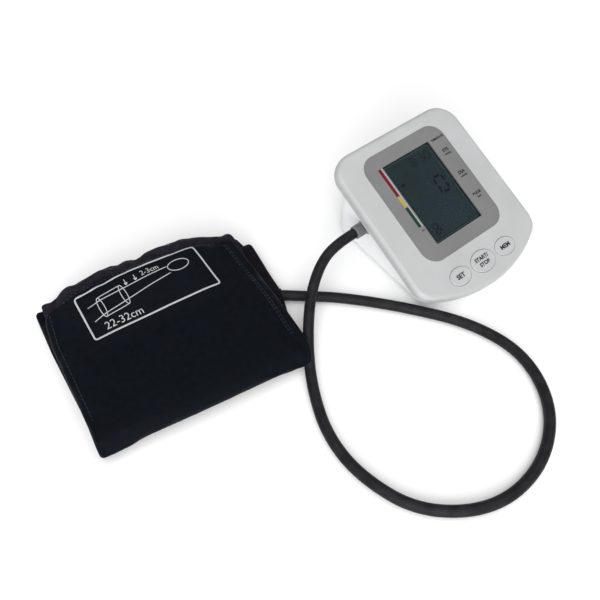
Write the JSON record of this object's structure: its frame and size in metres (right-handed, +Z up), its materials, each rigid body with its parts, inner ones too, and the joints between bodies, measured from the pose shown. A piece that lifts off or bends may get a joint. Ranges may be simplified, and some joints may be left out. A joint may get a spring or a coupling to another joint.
{
  "type": "upper arm blood pressure monitor",
  "caption": "Wedge-shaped desk monitor with a sloping screen and buttons, joined by a looped rubber air hose to a folded fabric arm cuff.",
  "frame": {"origin": "on the table, under the middle of the box round the monitor and the folded cuff, without the hose and its plug", "axes": "+X to the monitor's right, from the cuff to the monitor, +Y to the monitor's back, +Z up"},
  "size_m": [0.3423, 0.2919, 0.0622],
  "materials": {
    "white_plastic": "fine satin moulded plastic",
    "grey_trim": "smooth grey trim with printed legends",
    "clear_pane": "clear pane",
    "dark_display": "dark blue-green liquid crystal",
    "pale_plastic": "moulded",
    "grey_plastic": "satin grey",
    "black_rubber": "satin rubber",
    "board_green": "lacquered board",
    "black_plastic": "moulded",
    "bright_metal": "plated",
    "cell_jacket": "printed film",
    "dark_steel": "zinc plated",
    "copper_winding": "wound enamelled wire",
    "navy_nylon": "woven nylon with a soft sheen",
    "bladder_film": "welded film",
    "foam": "soft foam",
    "hook_and_loop": "hook and loop pile",
    "chromed_wire": "bright plated wire"
  },
  "bodies": {
    "housing": {"air_manifold": "pale_plastic", "air_socket": "grey_plastic", "air_tube_port": "black_rubber", "air_tube_pump": "black_rubber", "air_tube_sensor": "black_rubber", "air_tube_valve": "black_rubber", "amplifier_chip": "black_plastic", "battery_cells": "cell_jacket", "battery_contacts": "bright_metal", "battery_springs": "bright_metal", "board_capacitors": "bright_metal", "board_posts": "pale_plastic", "board_screws": "dark_steel", "bottom_shell": "white_plastic", "buzzer": "black_plastic", "controller_chip": "black_plastic", "display_bezel": "grey_trim", "display_window": "clear_pane", "housing_screws": "dark_steel", "lcd_holder": "pale_plastic", "lcd_panel": "dark_display", "main_board": "board_green", "memory_chip": "black_plastic", "pressure_sensor": "black_plastic", "pump_cradle": "black_rubber", "pump_head": "pale_plastic", "pump_motor": "bright_metal", "rubber_feet": "black_rubber", "tact_switches": "black_plastic", "top_shell": "white_plastic", "valve_coil": "copper_winding", "valve_yoke": "bright_metal", "zebra_strips": "black_rubber"},
    "button_set_cap": {"button_set": "white_plastic"},
    "button_start_stop_cap": {"button_start_stop": "white_plastic"},
    "button_memory_cap": {"button_memory": "white_plastic"},
    "cover": {"battery_cover": "white_plastic"},
    "cuff": {"plug_collar": "grey_plastic", "plug_nozzle": "grey_plastic", "plug_seal": "black_rubber", "air_hose": "black_rubber", "cuff_gland": "black_rubber", "cuff_base_leaf": "navy_nylon", "cuff_bladder": "bladder_film", "cuff_middle_leaf": "navy_nylon", "cuff_far_roll": "navy_nylon", "cuff_near_fold": "navy_nylon", "loop_patch": "hook_and_loop", "cuff_ring": "chromed_wire", "ring_loop": "navy_nylon"},
    "cuff_leaf": {"leaf_cover": "navy_nylon", "leaf_pad": "foam", "leaf_lining": "navy_nylon", "hook_patch": "hook_and_loop"}
  },
  "joints": [
    {"name": "press_set", "type": "slide", "parent": "housing", "child": "button_set_cap", "axis": [0, 0.3853, -0.9228], "range_m": [0, 0.0006], "stiffness_N_per_m": 800, "springref_m": -0.0006},
    {"name": "press_start_stop", "type": "slide", "parent": "housing", "child": "button_start_stop_cap", "axis": [0, 0.3853, -0.9228], "range_m": [0, 0.0006], "stiffness_N_per_m": 800, "springref_m": -0.0006},
    {"name": "press_memory", "type": "slide", "parent": "housing", "child": "button_memory_cap", "axis": [0, 0.3853, -0.9228], "range_m": [0, 0.0006], "stiffness_N_per_m": 800, "springref_m": -0.0006},
    {"name": "battery_cover_slide", "type": "slide", "parent": "housing", "child": "cover", "axis": [0, 1, 0], "range_m": [0, 0.055]},
    {"name": "plug_pull", "type": "slide", "parent": "housing", "child": "cuff", "axis": [-1, 0, 0], "range_m": [0, 0.02]},
    {"name": "leaf_fold", "type": "hinge", "parent": "cuff", "child": "cuff_leaf", "pos_m": [-0.10144, -0.0397, 0.009], "axis": [0.9848, -0.1736, 0], "range_deg": [0, 110]}
  ]
}
